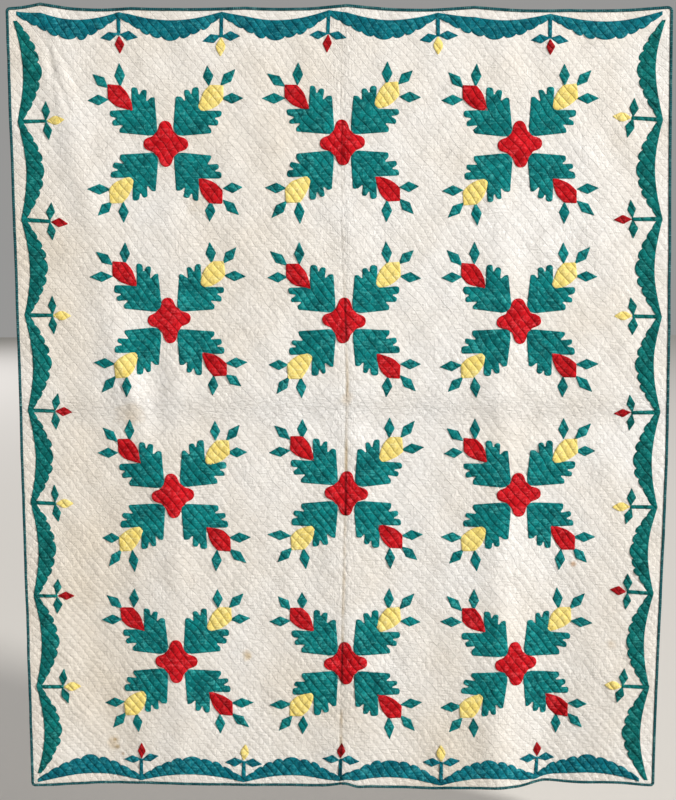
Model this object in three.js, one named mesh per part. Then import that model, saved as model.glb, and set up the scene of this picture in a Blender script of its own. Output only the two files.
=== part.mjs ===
// An appliqued cotton quilt that hangs by its top edge, with its front toward -Y.
// Millimetres, +Z up. The origin is the middle of the top edge, on the quilt's back.
import * as THREE from 'three';

// Driving dimensions of the flat quilt
const WIDTH = 1810;
const HEIGHT = 2180;
const BLOCK = 485; // one square, seam to seam
const BLOCK_COLUMNS = 3;
const BLOCK_ROWS = 4;
const BLOCK_SHIFT = 10; // the squares sit this far right of the middle
const BODY = 3; // thickness of the three layers along a line of quilting
const PUFF = 1.6; // extra thickness between the lines
const CLOTH = 0.9; // one sewn-on layer with its edge turned under
const CLEAR = 0.3; // air between two sewn pieces
const SEAT_SPARE = 0.25; // and as much more, for the bend of the cloth between two points
const BINDING_FACE = 7; // width of the binding that shows on each side
const BINDING_RISE = 0.5; // the binding's inner edge stands up a little
const FOLLOW = 1.2; // how closely a sewn-on piece follows the folds
const FOLLOW_PASSES = 2; // times that its edges may be halved to do so
const SEAT_STEPS = 12; // places tried along each side of a triangle when a piece is seated

// Half diamonds of quilting, across and down
const LATTICE_COLUMNS = 44;
const LATTICE_ROWS = 44;

// Folds that run down the quilt: place across, half width, and how far each stands
// toward the front at the top edge, half way down and at the hem
const FOLDS = [
  { name: 'left hem hollow', at: -690, wide: 110, top: 0, middle: -1, hem: -12 },
  { name: 'left quarter ridge', at: -465, wide: 46, top: 0, middle: 5, hem: 4 },
  { name: 'left belly', at: -230, wide: 150, top: 0, middle: 2, hem: -2 },
  { name: 'centre ridge', at: 30, wide: 90, top: 1, middle: 5, hem: 7 },
  { name: 'right swell', at: 390, wide: 130, top: 0, middle: 2, hem: 8 },
  { name: 'right quarter ridge', at: 446, wide: 46, top: 1, middle: 5, hem: 8 },
  { name: 'right hem hollow', at: 600, wide: 90, top: 0, middle: -2, hem: -13 },
  { name: 'right edge', at: 860, wide: 120, top: 0, middle: -2, hem: 5 },
];

// Short folds: the middle of each, half width, half length, lean (across per step down)
// and how far it stands toward the front
const TENTS = [
  { name: 'left tent ridge', at: -588, down: 1060, wide: 45, long: 280, lean: 0.25, out: 10 },
  { name: 'left tent hollow', at: -512, down: 1050, wide: 42, long: 130, lean: 0.05, out: -5 },
  { name: 'drape from the corner', at: -735, down: 330, wide: 42, long: 300, lean: 0.2, out: 6 },
  { name: 'cross fold', at: -50, down: 1090, wide: 480, long: 55, lean: 0, out: -3 },
];

// The top edge where it is held: place across, rise over the mean edge, sag to the next
const HOLDS = [
  { at: -905, rise: 9, sag: 2 },
  { at: -810, rise: 20, sag: 9 },
  { at: -565, rise: 6, sag: 3 },
  { at: -252, rise: 4, sag: 6 },
  { at: 22, rise: 9, sag: 10 },
  { at: 368, rise: 1, sag: 5 },
  { at: 624, rise: -10, sag: 4 },
  { at: 890, rise: -4, sag: 0 },
  { at: 905, rise: -6, sag: 0 },
];
const HOLD_REACH = 220; // the pull of the holds has died out this far down

// Both side edges draw in where the folds beside them take up cloth, counted to the right
const LEFT_EDGE = { top: -1, middle: 6, hem: 10 };
const LEFT_DRAW_FROM = 450;
const RIGHT_EDGE = { top: -5, middle: 6, hem: -16 };
const RIGHT_DRAW_FROM = 250;

// Rise of the hem where the folds pull it up: place across, rise
const HEM_RISES = [
  { at: -905, rise: -2 },
  { at: -700, rise: 3 },
  { at: -520, rise: 5 },
  { at: -300, rise: 1 },
  { at: -60, rise: 2 },
  { at: 8, rise: 9 },
  { at: 50, rise: 0 },
  { at: 260, rise: -5 },
  { at: 440, rise: -1 },
  { at: 500, rise: 0 },
  { at: 590, rise: 17 },
  { at: 660, rise: 13 },
  { at: 780, rise: 15 },
  { at: 905, rise: 8 },
];
const HEM_REACH = 380; // and has died out this far up

// How far each motif was sewn to the right of and below the middle of its square, by rows
const MOTIF_SHIFTS = [
  [{ right: 0, below: -2 }, { right: -1, below: -2 }, { right: -2, below: 6 }],
  [{ right: 1, below: -6 }, { right: 1, below: -2 }, { right: -3, below: 0 }],
  [{ right: 4, below: 2 }, { right: 5, below: -4 }, { right: 1, below: 0 }],
  [{ right: 5, below: -5 }, { right: 2, below: -2 }, { right: 1, below: -1 }],
];

// Leaf outline from the flower's middle, in one quarter, up to the bud on its diagonal
const LEAF_HALF = [
  { name: 'join under the centre', x: 30, z: 22.5 },
  { name: 'side by the centre', x: 47, z: 23 },
  { name: 'side end', x: 120, z: 30 },
  { name: 'shoulder', x: 126, z: 39 },
  { name: 'first notch', x: 117, z: 51 },
  { name: 'first finger', x: 140, z: 52 },
  { name: 'first finger end', x: 143, z: 61 },
  { name: 'second notch', x: 132, z: 70 },
  { name: 'second finger', x: 149, z: 76 },
  { name: 'second finger end', x: 149, z: 90 },
  { name: 'beside the bud', x: 98, z: 92 },
];

// Flower centre: mean radius, the four lobes and their sharpening
const CENTRE = { mean: 49.5, lobe: 10, sharpen: 1.5, points: 20 };

// Swags by side of the quilt: how far the first and last keep from the corner, how far their
// outer edge keeps from the quilt's edge at a corner, at a peak and half way along, and how
// deep they are half way along
const SWAG_SIDES = {
  top: { first: 28, last: 28, tipIn: 12, peakIn: 11, midIn: 32, midThick: 45, colour: 0x14787f },
  bottom: { first: 19, last: 44, tipIn: 12, peakIn: 11, midIn: 32, midThick: 45, colour: 0x14787f },
  left: { first: 36, last: 38, tipIn: 19, peakIn: 23, midIn: 42, midThick: 43, colour: 0x0b6b62 },
  right: { first: 36, last: 17, tipIn: 19, peakIn: 23, midIn: 44, midThick: 43, colour: 0x0b6b62 },
};
// Peaks between the swags of a side, counted from the left or from the top
const SWAG_PEAKS = {
  top: [307, 588, 879, 1173, 1478],
  bottom: [326, 623, 899, 1188, 1465],
  left: [297, 564, 827, 1093, 1354, 1622, 1887],
  right: [305, 571, 839, 1102, 1369, 1614, 1885],
};
const SWAG = {
  peakThick: 13, // depth at a peak between two swags
  tipThick: 9, // depth at a corner
  scallopEnds: [0, 0.1, 0.2, 0.3, 0.41, 0.59, 0.7, 0.8, 0.9, 1], // as parts of a swag's length
  scallopDeep: 7,
  arcSteps: 5,
};

const COLOURS = { ground: 0xece3d6, binding: 0x0f5a63, leaf: 0x178073, centre: 0xcf1f2e };
const ROUGHNESS = 0.92;

const quilt = new THREE.Group();

function smooth(t) {
  return THREE.MathUtils.smoothstep(t, 0, 1);
}

function bump(t) {
  return Math.exp(-t * t);
}

// A value that changes from the top edge through the middle to the hem
function alongDrop(row, t) {
  if (t < 0.5) return THREE.MathUtils.lerp(row.top, row.middle, smooth(2 * t));
  return THREE.MathUtils.lerp(row.middle, row.hem, smooth(2 * t - 1));
}

// How far the hanging cloth stands toward the front at a place on the flat quilt
function standsOut(u, down) {
  const t = down / HEIGHT;
  let out = 0;
  for (const fold of FOLDS) out += alongDrop(fold, t) * bump((u - fold.at) / fold.wide);
  for (const tent of TENTS) {
    const below = down - tent.down;
    const across = u - tent.at - tent.lean * below;
    out += tent.out * bump(across / tent.wide) * bump(below / tent.long);
  }
  return out;
}

// Rise of the top edge over its mean line
function holdRise(u) {
  let k = 0;
  while (k < HOLDS.length - 2 && u > HOLDS[k + 1].at) k += 1;
  const [from, to] = [HOLDS[k], HOLDS[k + 1]];
  const t = THREE.MathUtils.clamp((u - from.at) / (to.at - from.at), 0, 1);
  return THREE.MathUtils.lerp(from.rise, to.rise, t) - from.sag * Math.sin(Math.PI * t);
}

function hemRise(u) {
  let k = 0;
  while (k < HEM_RISES.length - 2 && u > HEM_RISES[k + 1].at) k += 1;
  const [from, to] = [HEM_RISES[k], HEM_RISES[k + 1]];
  return THREE.MathUtils.lerp(from.rise, to.rise, smooth((u - from.at) / (to.at - from.at)));
}

// The hanging place of a point of the flat quilt, lifted off its back
function hang(u, down, lift) {
  const drawLeft = smooth((-u - LEFT_DRAW_FROM) / (WIDTH / 2 - LEFT_DRAW_FROM));
  const drawRight = smooth((u - RIGHT_DRAW_FROM) / (WIDTH / 2 - RIGHT_DRAW_FROM));
  const t = down / HEIGHT;
  const x = u + alongDrop(LEFT_EDGE, t) * drawLeft + alongDrop(RIGHT_EDGE, t) * drawRight;
  const held = holdRise(u) * (1 - smooth(down / HOLD_REACH));
  const pulled = hemRise(u) * smooth(1 - (HEIGHT - down) / HEM_REACH);
  return new THREE.Vector3(x, -standsOut(u, down) - lift, -down + held + pulled);
}

function addMesh(name, colour, points, triangles) {
  const geometry = new THREE.BufferGeometry().setFromPoints(points);
  geometry.setIndex(triangles.flat());
  geometry.computeVertexNormals();
  const material = new THREE.MeshStandardMaterial({ color: colour, roughness: ROUGHNESS, metalness: 0 });
  const mesh = new THREE.Mesh(geometry, material);
  mesh.name = name;
  quilt.add(mesh);
}

// The ground's two faces as grids of points. Crossings of the quilting lines lie low and
// the middles of the diamonds stand up, but for two rows along the edges.
const cellWide = WIDTH / LATTICE_COLUMNS;
const cellHigh = HEIGHT / LATTICE_ROWS;

function faceGrid(liftAt) {
  const grid = [];
  for (let j = 0; j <= LATTICE_ROWS; j += 1) {
    grid.push([]);
    for (let i = 0; i <= LATTICE_COLUMNS; i += 1) {
      grid[j].push(hang(i * cellWide - WIDTH / 2, j * cellHigh, liftAt(i, j)));
    }
  }
  straightenEdges(grid);
  return grid;
}

// Along the edges every second point is set midway between its neighbours, which is the
// step of the binding
function straightenEdges(grid) {
  const rows = [0, 1, LATTICE_ROWS - 1, LATTICE_ROWS];
  const columns = [0, 1, LATTICE_COLUMNS - 1, LATTICE_COLUMNS];
  for (const i of columns) {
    for (let j = 1; j < LATTICE_ROWS; j += 2) grid[j][i].lerpVectors(grid[j - 1][i], grid[j + 1][i], 0.5);
  }
  for (const j of rows) {
    for (let i = 1; i < LATTICE_COLUMNS; i += 2) grid[j][i].lerpVectors(grid[j][i - 1], grid[j][i + 1], 0.5);
  }
}

function frontLift(i, j) {
  const fromEdge = Math.min(i, j, LATTICE_COLUMNS - i, LATTICE_ROWS - j);
  const puffed = (i + j) % 2 === 1 && fromEdge > 1;
  return puffed ? BODY + PUFF : BODY;
}

const front = faceGrid(frontLift);
const back = faceGrid(() => 0);

// A cell is split along the quilting line that crosses it
function lineFalls(i, j) {
  return (i + j) % 2 === 0;
}

function addGround() {
  const points = [...front.flat(), ...back.flat()];
  const rowSize = LATTICE_COLUMNS + 1;
  const f = (i, j) => j * rowSize + i;
  const b = (i, j) => f(i, j) + rowSize * (LATTICE_ROWS + 1);
  const [lastI, lastJ] = [LATTICE_COLUMNS, LATTICE_ROWS];
  const triangles = [];
  for (let j = 0; j < lastJ; j += 1) {
    for (let i = 0; i < lastI; i += 1) {
      const [topLeft, topRight] = [f(i, j), f(i + 1, j)];
      const [lowLeft, lowRight] = [f(i, j + 1), f(i + 1, j + 1)];
      if (lineFalls(i, j)) triangles.push([topLeft, lowLeft, lowRight], [topLeft, lowRight, topRight]);
      else triangles.push([topLeft, lowLeft, topRight], [lowLeft, lowRight, topRight]);
    }
  }
  // The back has every column but only every second row
  for (let j = 0; j < lastJ; j += 2) {
    for (let i = 0; i < lastI; i += 1) {
      triangles.push([b(i, j), b(i + 1, j + 2), b(i, j + 2)], [b(i, j), b(i + 1, j), b(i + 1, j + 2)]);
    }
    // Left and right edges
    triangles.push([f(0, j + 1), f(0, j), b(0, j)], [f(0, j + 1), b(0, j), b(0, j + 2)]);
    triangles.push([f(0, j + 1), b(0, j + 2), f(0, j + 2)]);
    triangles.push([f(lastI, j + 1), b(lastI, j), f(lastI, j)]);
    triangles.push([f(lastI, j + 1), b(lastI, j + 2), b(lastI, j)]);
    triangles.push([f(lastI, j + 1), f(lastI, j + 2), b(lastI, j + 2)]);
  }
  // Top edge and hem
  for (let i = 0; i < lastI; i += 1) {
    triangles.push([f(i, 0), f(i + 1, 0), b(i + 1, 0)], [f(i, 0), b(i + 1, 0), b(i, 0)]);
    triangles.push([f(i, lastJ), b(i + 1, lastJ), f(i + 1, lastJ)]);
    triangles.push([f(i, lastJ), b(i, lastJ), b(i + 1, lastJ)]);
  }
  const used = [...new Set(triangles.flat())];
  const renumber = new Map(used.map((old, at) => [old, at]));
  const kept = triangles.map((face) => face.map((corner) => renumber.get(corner)));
  addMesh('quilt', COLOURS.ground, used.map((old) => points[old]), kept);
}

// Stations of the binding round the quilt, with the way in toward the cloth at each
function bindingStations() {
  const [lastI, lastJ] = [LATTICE_COLUMNS, LATTICE_ROWS];
  const stations = [];
  const add = (i, j) => stations.push({ i, j });
  for (let i = 0; i < lastI; i += 2) add(i, 0);
  for (let j = 0; j < lastJ; j += 2) add(lastI, j);
  for (let i = lastI; i > 0; i -= 2) add(i, lastJ);
  for (let j = lastJ; j > 0; j -= 2) add(0, j);
  return stations.map(({ i, j }) => {
    const stepI = i === 0 ? 1 : i === lastI ? -1 : 0;
    const stepJ = j === 0 ? 1 : j === lastJ ? -1 : 0;
    const inward = new THREE.Vector3();
    if (stepI) inward.addScaledVector(front[j][i + stepI].clone().sub(front[j][i]), 1 / cellWide);
    if (stepJ) inward.addScaledVector(front[j + stepJ][i].clone().sub(front[j][i]), 1 / cellHigh);
    return { edge: back[j][i], inward };
  });
}

// The binding: one strip folded over the edge, a channel that runs all the way round
function addBinding() {
  const over = CLEAR + CLOTH;
  const section = [
    { inside: BINDING_FACE, up: BODY + CLEAR + BINDING_RISE },
    { inside: BINDING_FACE, up: BODY + over + BINDING_RISE },
    { inside: -over, up: BODY + over },
    { inside: -over, up: -over },
    { inside: BINDING_FACE, up: -over - BINDING_RISE },
    { inside: BINDING_FACE, up: -CLEAR - BINDING_RISE },
    { inside: -CLEAR, up: -CLEAR },
    { inside: -CLEAR, up: BODY + CLEAR },
  ];
  const stations = bindingStations();
  const points = [];
  for (const { edge, inward } of stations) {
    for (const { inside, up } of section) {
      const point = edge.clone().addScaledVector(inward, inside);
      point.y -= up;
      points.push(point);
    }
  }
  const n = section.length;
  const triangles = [];
  stations.forEach((_, s) => {
    const next = (s + 1) % stations.length;
    for (let k = 0; k < n; k += 1) {
      const [a, b] = [s * n + k, s * n + (k + 1) % n];
      const [c, d] = [next * n + (k + 1) % n, next * n + k];
      triangles.push([a, c, b], [a, d, c]);
    }
  });
  addMesh('binding', COLOURS.binding, points, triangles);
}

// Height of the ground's front face, counted toward the front, at a place on the flat quilt
function groundFace(u, down) {
  const i = THREE.MathUtils.clamp(Math.floor((u + WIDTH / 2) / cellWide), 0, LATTICE_COLUMNS - 1);
  const j = THREE.MathUtils.clamp(Math.floor(down / cellHigh), 0, LATTICE_ROWS - 1);
  const s = (u + WIDTH / 2) / cellWide - i;
  const t = down / cellHigh - j;
  const [a, b] = [-front[j][i].y, -front[j][i + 1].y];
  const [d, c] = [-front[j + 1][i].y, -front[j + 1][i + 1].y];
  if (lineFalls(i, j)) return t > s ? a + (d - a) * t + (c - d) * s : a + (b - a) * s + (c - b) * t;
  return s + t < 1 ? a + (b - a) * s + (d - a) * t : c + (d - c) * (1 - s) + (b - c) * (1 - t);
}

// Halves the edges of a flat triangulation that stray from the folds
function followFolds(points, triangles) {
  const middles = new Map();
  const middleOf = (p, q) => {
    const key = p < q ? `${p} ${q}` : `${q} ${p}`;
    if (!middles.has(key)) {
      const middle = points[p].clone().lerp(points[q], 0.5);
      const ends = (standsOut(points[p].x, points[p].y) + standsOut(points[q].x, points[q].y)) / 2;
      const strays = Math.abs(standsOut(middle.x, middle.y) - ends) > FOLLOW;
      middles.set(key, strays ? points.push(middle) - 1 : -1);
    }
    return middles.get(key);
  };
  let faces = triangles;
  for (let pass = 0; pass < FOLLOW_PASSES; pass += 1) {
    faces = faces.flatMap((face) => splitFace(face, middleOf));
  }
  return faces;
}

function splitFace([a, b, c], middleOf) {
  const [ab, bc, ca] = [middleOf(a, b), middleOf(b, c), middleOf(c, a)];
  const count = [ab, bc, ca].filter((m) => m >= 0).length;
  if (count === 0) return [[a, b, c]];
  if (count === 3) return [[a, ab, ca], [ab, b, bc], [ca, bc, c], [ab, bc, ca]];
  // Turn the face until its first edge is split and, with two split edges, its second too
  if (ab < 0 || (count === 2 && bc < 0)) return splitFace([b, c, a], middleOf);
  if (count === 1) return [[a, ab, c], [ab, b, c]];
  return [[ab, b, bc], [a, ab, bc], [a, bc, c]];
}

// Height of a triangulated piece over a place, or minus infinity beside it
function pieceHeight(points, triangles, heights, place) {
  for (const [a, b, c] of triangles) {
    const whole = cross(points[a], points[b], points[c]);
    const weightA = cross(place, points[b], points[c]) / whole;
    const weightB = cross(points[a], place, points[c]) / whole;
    const weightC = 1 - weightA - weightB;
    if (weightA < 0 || weightB < 0 || weightC < 0) continue;
    return weightA * heights[a] + weightB * heights[b] + weightC * heights[c];
  }
  return -Infinity;
}

function cross(a, b, c) {
  return (b.x - a.x) * (c.y - a.y) - (b.y - a.y) * (c.x - a.x);
}

// Lift that seats a piece on what lies under it, tried on a fine grid over each triangle
function seat(points, triangles, heights, under) {
  let lift = 0;
  const place = new THREE.Vector2();
  for (const [a, b, c] of triangles) {
    for (let m = 0; m <= SEAT_STEPS; m += 1) {
      for (let n = 0; n <= SEAT_STEPS - m; n += 1) {
        const [s, t] = [m / SEAT_STEPS, n / SEAT_STEPS];
        place.copy(points[a]).multiplyScalar(1 - s - t);
        place.addScaledVector(points[b], s).addScaledVector(points[c], t);
        const own = (1 - s - t) * heights[a] + s * heights[b] + t * heights[c];
        lift = Math.max(lift, under(place.x, place.y) - own);
      }
    }
  }
  return lift + CLEAR + SEAT_SPARE;
}

// A layer of cloth with the given outline on the flat quilt, sewn onto what lies under it.
// Returns the height of its upper side, for a piece that is sewn over it.
function addSewn(name, colour, outline, under) {
  const points = outline.map((p) => p.clone());
  const flat = THREE.ShapeUtils.triangulateShape(points, []);
  // Seen from the front, with down counted downward, faces turn the other way round
  const turns = ([a, b, c]) => cross(points[a], points[b], points[c]) > 0;
  const turned = flat.map((face) => (turns(face) ? face.toReversed() : face));
  const faces = followFolds(points, turned);
  const heights = points.map((p) => standsOut(p.x, p.y));
  const lift = seat(points, faces, heights, under);
  const upper = points.map((p) => hang(p.x, p.y, lift + CLOTH));
  const lower = points.map((p) => hang(p.x, p.y, lift));
  const n = points.length;
  const directed = new Set(faces.flatMap(([a, b, c]) => [`${a} ${b}`, `${b} ${c}`, `${c} ${a}`]));
  const triangles = [...faces];
  for (const [a, b, c] of faces) triangles.push([a + n, c + n, b + n]);
  for (const edge of directed) {
    const [p, q] = edge.split(' ').map(Number);
    if (!directed.has(`${q} ${p}`)) triangles.push([p, p + n, q + n], [p, q + n, q]);
  }
  addMesh(name, colour, [...upper, ...lower], triangles);
  const tops = heights.map((h) => h + lift + CLOTH);
  return (u, down) => pieceHeight(points, faces, tops, new THREE.Vector2(u, down));
}

// Four leaves of one square, joined under the flower centre
function leafOutline(middle) {
  const mirrored = LEAF_HALF.map(({ x, z }) => ({ x: z, z: x })).reverse();
  const quarter = [...LEAF_HALF, ...mirrored];
  const outline = [];
  for (let turn = 0; turn < 4; turn += 1) {
    for (const { x, z } of quarter) {
      const place = new THREE.Vector2(x, z).rotateAround(new THREE.Vector2(), (turn * Math.PI) / 2);
      outline.push(new THREE.Vector2(middle.x + place.x, middle.y - place.y));
    }
  }
  return outline;
}

function centreOutline(middle) {
  const outline = [];
  for (let k = 0; k < CENTRE.points; k += 1) {
    const angle = (2 * Math.PI * k) / CENTRE.points;
    const radius = CENTRE.mean + CENTRE.lobe * Math.cos(4 * angle) + CENTRE.sharpen * Math.cos(8 * angle);
    outline.push(new THREE.Vector2(middle.x + radius * Math.cos(angle), middle.y - radius * Math.sin(angle)));
  }
  return outline;
}

// A value that swells from one end to the middle of a swag and back to the other end
function arch(start, middle, end, t) {
  const straight = THREE.MathUtils.lerp(start, end, t);
  return straight + (middle - straight) * Math.sin(Math.PI * t);
}

// Outline of a swag between two ends, as distances along the quilt's edge and inward
function swagProfile(start, end, midIn, midThick) {
  const long = end.along - start.along;
  const outerAt = (t) => arch(start.inward, midIn, end.inward, t);
  const innerAt = (t) => outerAt(t) + arch(start.thick, midThick, end.thick, t);
  const profile = [];
  for (let k = 0; k <= SWAG.arcSteps; k += 1) {
    const t = k / SWAG.arcSteps;
    profile.push({ along: start.along + t * long, inward: outerAt(t) });
  }
  const ends = SWAG.scallopEnds;
  for (let k = ends.length - 1; k >= 0; k -= 1) {
    profile.push({ along: start.along + ends[k] * long, inward: innerAt(ends[k]) });
    if (k === 0) break;
    const t = (ends[k] + ends[k - 1]) / 2;
    const crest = SWAG.scallopDeep * Math.sin(Math.PI * t);
    profile.push({ along: start.along + t * long, inward: innerAt(t) + crest });
  }
  return profile;
}

const EDGE_PLACES = {
  top: (along, inward) => new THREE.Vector2(along - WIDTH / 2, inward),
  bottom: (along, inward) => new THREE.Vector2(along - WIDTH / 2, HEIGHT - inward),
  left: (along, inward) => new THREE.Vector2(inward - WIDTH / 2, along),
  right: (along, inward) => new THREE.Vector2(WIDTH / 2 - inward, along),
};

function addSwags(side) {
  const { first, last, tipIn, peakIn, midIn, midThick, colour } = SWAG_SIDES[side];
  const run = side === 'top' || side === 'bottom' ? WIDTH : HEIGHT;
  const tip = { inward: tipIn, thick: SWAG.tipThick };
  const peak = { inward: peakIn, thick: SWAG.peakThick };
  const ends = [
    { ...tip, along: first },
    ...SWAG_PEAKS[side].map((along) => ({ ...peak, along })),
    { ...tip, along: run - last },
  ];
  for (let k = 1; k < ends.length; k += 1) {
    const start = { ...ends[k - 1], along: ends[k - 1].along + CLEAR };
    const end = { ...ends[k], along: ends[k].along - CLEAR };
    const profile = swagProfile(start, end, midIn, midThick);
    const outline = profile.map(({ along, inward }) => EDGE_PLACES[side](along, inward));
    addSewn(`swag_${side}_${k}`, colour, outline, groundFace);
  }
}

function addBlocks() {
  for (let row = 0; row < BLOCK_ROWS; row += 1) {
    for (let column = 0; column < BLOCK_COLUMNS; column += 1) {
      const u = BLOCK_SHIFT + (column - (BLOCK_COLUMNS - 1) / 2) * BLOCK;
      const down = HEIGHT / 2 + (row - (BLOCK_ROWS - 1) / 2) * BLOCK;
      const { right, below } = MOTIF_SHIFTS[row][column];
      const middle = new THREE.Vector2(u + right, down + below);
      const place = `${row + 1}_${column + 1}`;
      const leafTop = addSewn(`leaves_${place}`, COLOURS.leaf, leafOutline(middle), groundFace);
      const under = (x, y) => Math.max(groundFace(x, y), leafTop(x, y));
      addSewn(`centre_${place}`, COLOURS.centre, centreOutline(middle), under);
    }
  }
}

addGround();
addBinding();
addBlocks();
for (const side of Object.keys(SWAG_SIDES)) addSwags(side);

export default quilt;
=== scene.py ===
import math

import bmesh
import bpy
import numpy as np
from mathutils import Matrix, Vector
from mathutils.geometry import delaunay_2d_cdt


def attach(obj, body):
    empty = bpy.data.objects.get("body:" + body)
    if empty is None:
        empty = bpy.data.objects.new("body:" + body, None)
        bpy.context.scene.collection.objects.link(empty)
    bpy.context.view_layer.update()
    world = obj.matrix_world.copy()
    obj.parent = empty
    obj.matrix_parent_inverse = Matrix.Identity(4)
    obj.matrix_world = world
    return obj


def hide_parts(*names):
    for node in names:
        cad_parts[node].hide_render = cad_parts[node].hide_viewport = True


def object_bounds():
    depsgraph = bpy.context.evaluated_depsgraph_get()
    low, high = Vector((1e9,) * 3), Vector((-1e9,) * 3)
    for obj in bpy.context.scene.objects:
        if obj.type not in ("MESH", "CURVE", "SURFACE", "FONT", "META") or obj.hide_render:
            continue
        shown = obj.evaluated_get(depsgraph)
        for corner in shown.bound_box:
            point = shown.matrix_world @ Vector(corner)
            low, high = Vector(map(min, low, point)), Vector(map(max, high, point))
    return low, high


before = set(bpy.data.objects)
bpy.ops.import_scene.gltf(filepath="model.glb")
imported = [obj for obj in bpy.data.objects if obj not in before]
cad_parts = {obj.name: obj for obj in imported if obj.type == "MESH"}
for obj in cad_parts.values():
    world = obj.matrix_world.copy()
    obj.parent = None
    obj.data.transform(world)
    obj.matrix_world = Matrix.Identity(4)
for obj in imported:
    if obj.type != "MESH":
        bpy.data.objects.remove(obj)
cad_low, cad_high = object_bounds()

# Camera: it stands in front of the quilt, a little right of and above its middle,
# and looks slightly down and to the left.
CAMERA_PLACE = Vector((0.079, -3.604, -0.716))
LOOK_DOWN, LOOK_LEFT, ROLL = 0.0969, 0.0237, 0.0046
FOCAL_PIXELS, FRAME_PIXELS, SENSOR_MM = 1300, 800, 36

camera_data = bpy.data.cameras.new("camera")
camera_data.sensor_width = SENSOR_MM
camera_data.lens = FOCAL_PIXELS / FRAME_PIXELS * SENSOR_MM
camera = bpy.data.objects.new("camera", camera_data)
bpy.context.scene.collection.objects.link(camera)
level = Vector((-math.sin(LOOK_LEFT), math.cos(LOOK_LEFT), 0))
ahead = level * math.cos(LOOK_DOWN) - Vector((0, 0, 1)) * math.sin(LOOK_DOWN)
up = level * math.sin(LOOK_DOWN) + Vector((0, 0, 1)) * math.cos(LOOK_DOWN)
right = ahead.cross(up)
rolled_right = right * math.cos(ROLL) - up * math.sin(ROLL)
rolled_up = right * math.sin(ROLL) + up * math.cos(ROLL)
turned = Matrix((rolled_right, rolled_up, -ahead)).transposed().to_4x4()
camera.matrix_world = Matrix.Translation(CAMERA_PLACE) @ turned
bpy.context.scene.camera = camera
bpy.context.scene.view_settings.view_transform = "Standard"

# Floor and light: a pale matt floor below the hem, a broad key light from the upper right
# that rakes over the quilting, a weak light behind, and an even pale sky as fill.
FLOOR_BELOW_HEM = 0.14
FLOOR_HALF = 30
FLOOR_COLOUR = "#d3d0ca"
SKY_COLOUR, SKY_STRENGTH = "#cfcecc", 0.5
LIT_PLACE = (0, 0, -1.0)
KEY_LIGHT = dict(place=(19.5, -13.5, 9), size=4.5, watts=8500, colour="#fffcf8")
BACK_LIGHT = dict(place=(-14, 18, 10), size=9, watts=3000, colour="#fbfaff")


def linear(hex_colour):
    """An sRGB hex colour as linear red, green, blue and alpha."""
    channels = [int(hex_colour[i : i + 2], 16) / 255 for i in (1, 3, 5)]
    return tuple(c / 12.92 if c <= 0.04045 else ((c + 0.055) / 1.055) ** 2.4 for c in channels) + (1,)


def area_light(name, place, size, watts, colour):
    """A round soft light that points at the quilt."""
    data = bpy.data.lights.new(name, "AREA")
    data.shape = "DISK"
    data.size = size
    data.energy = watts
    data.color = linear(colour)[:3]
    light = bpy.data.objects.new(name, data)
    light.location = place
    light.rotation_euler = (Vector(LIT_PLACE) - Vector(place)).to_track_quat("-Z", "Y").to_euler()
    bpy.context.scene.collection.objects.link(light)


area_light("key", **KEY_LIGHT)
area_light("behind", **BACK_LIGHT)
world = bpy.data.worlds.new("sky")
world.use_nodes = True
world.node_tree.nodes["Background"].inputs["Color"].default_value = linear(SKY_COLOUR)
world.node_tree.nodes["Background"].inputs["Strength"].default_value = SKY_STRENGTH
bpy.context.scene.world = world

floor_mesh = bpy.data.meshes.new("floor")
floor_shape = bmesh.new()
bmesh.ops.create_grid(floor_shape, x_segments=1, y_segments=1, size=FLOOR_HALF)
bmesh.ops.translate(floor_shape, verts=floor_shape.verts, vec=(0, 0, cad_low.z - FLOOR_BELOW_HEM))
floor_shape.to_mesh(floor_mesh)
floor_shape.free()
floor = bpy.data.objects.new("floor", floor_mesh)
bpy.context.scene.collection.objects.link(floor)
floor_material = bpy.data.materials.new("matt_paint")
floor_material.use_nodes = True
floor_shader = floor_material.node_tree.nodes["Principled BSDF"]
floor_shader.inputs["Base Color"].default_value = linear(FLOOR_COLOUR)
floor_shader.inputs["Roughness"].default_value = 1.0
floor_shader.inputs["Specular IOR Level"].default_value = 0.0
floor_mesh.materials.append(floor_material)

# Quilted top: twelve white cotton squares and four border strips, pieced, and quilted by hand
# through a thin filling in diagonal lines, with a feather wreath over the middle of each seam.
# It hangs from its top edge.

# Flat places are in millimetres, across from the middle (u) and down from the top edge
MM = 0.001
WIDTH, HEIGHT = 1810, 2180
BLOCK, BLOCK_COLUMNS, BLOCK_ROWS, BLOCK_SHIFT = 485, 3, 4, 10
BODY = 3
CORNER_ROUND = 11

# Folds that run down the quilt, and how far each stands toward the front
FOLDS = [
    dict(name="left hem hollow", at=-690, wide=110, top=0, middle=-1, hem=-12),
    dict(name="left quarter ridge", at=-465, wide=46, top=0, middle=5, hem=4),
    dict(name="left belly", at=-230, wide=150, top=0, middle=2, hem=-2),
    dict(name="centre ridge", at=30, wide=90, top=1, middle=5, hem=7),
    dict(name="right swell", at=390, wide=130, top=0, middle=2, hem=8),
    dict(name="right quarter ridge", at=446, wide=46, top=1, middle=5, hem=8),
    dict(name="right hem hollow", at=600, wide=90, top=0, middle=-2, hem=-13),
    dict(name="right edge", at=860, wide=120, top=0, middle=-2, hem=5),
]
# The pressed fold down the middle, from being kept folded: place down and across, and its depth
CENTRE_FOLD = [(0, 9), (400, 7), (650, 10), (1010, 20), (1390, 13), (1800, 2), (2180, -4)]
FOLD_PRESS = dict(top=-0.8, middle=-1.8, hem=-2.2)
FOLD_HALF = 5
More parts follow.
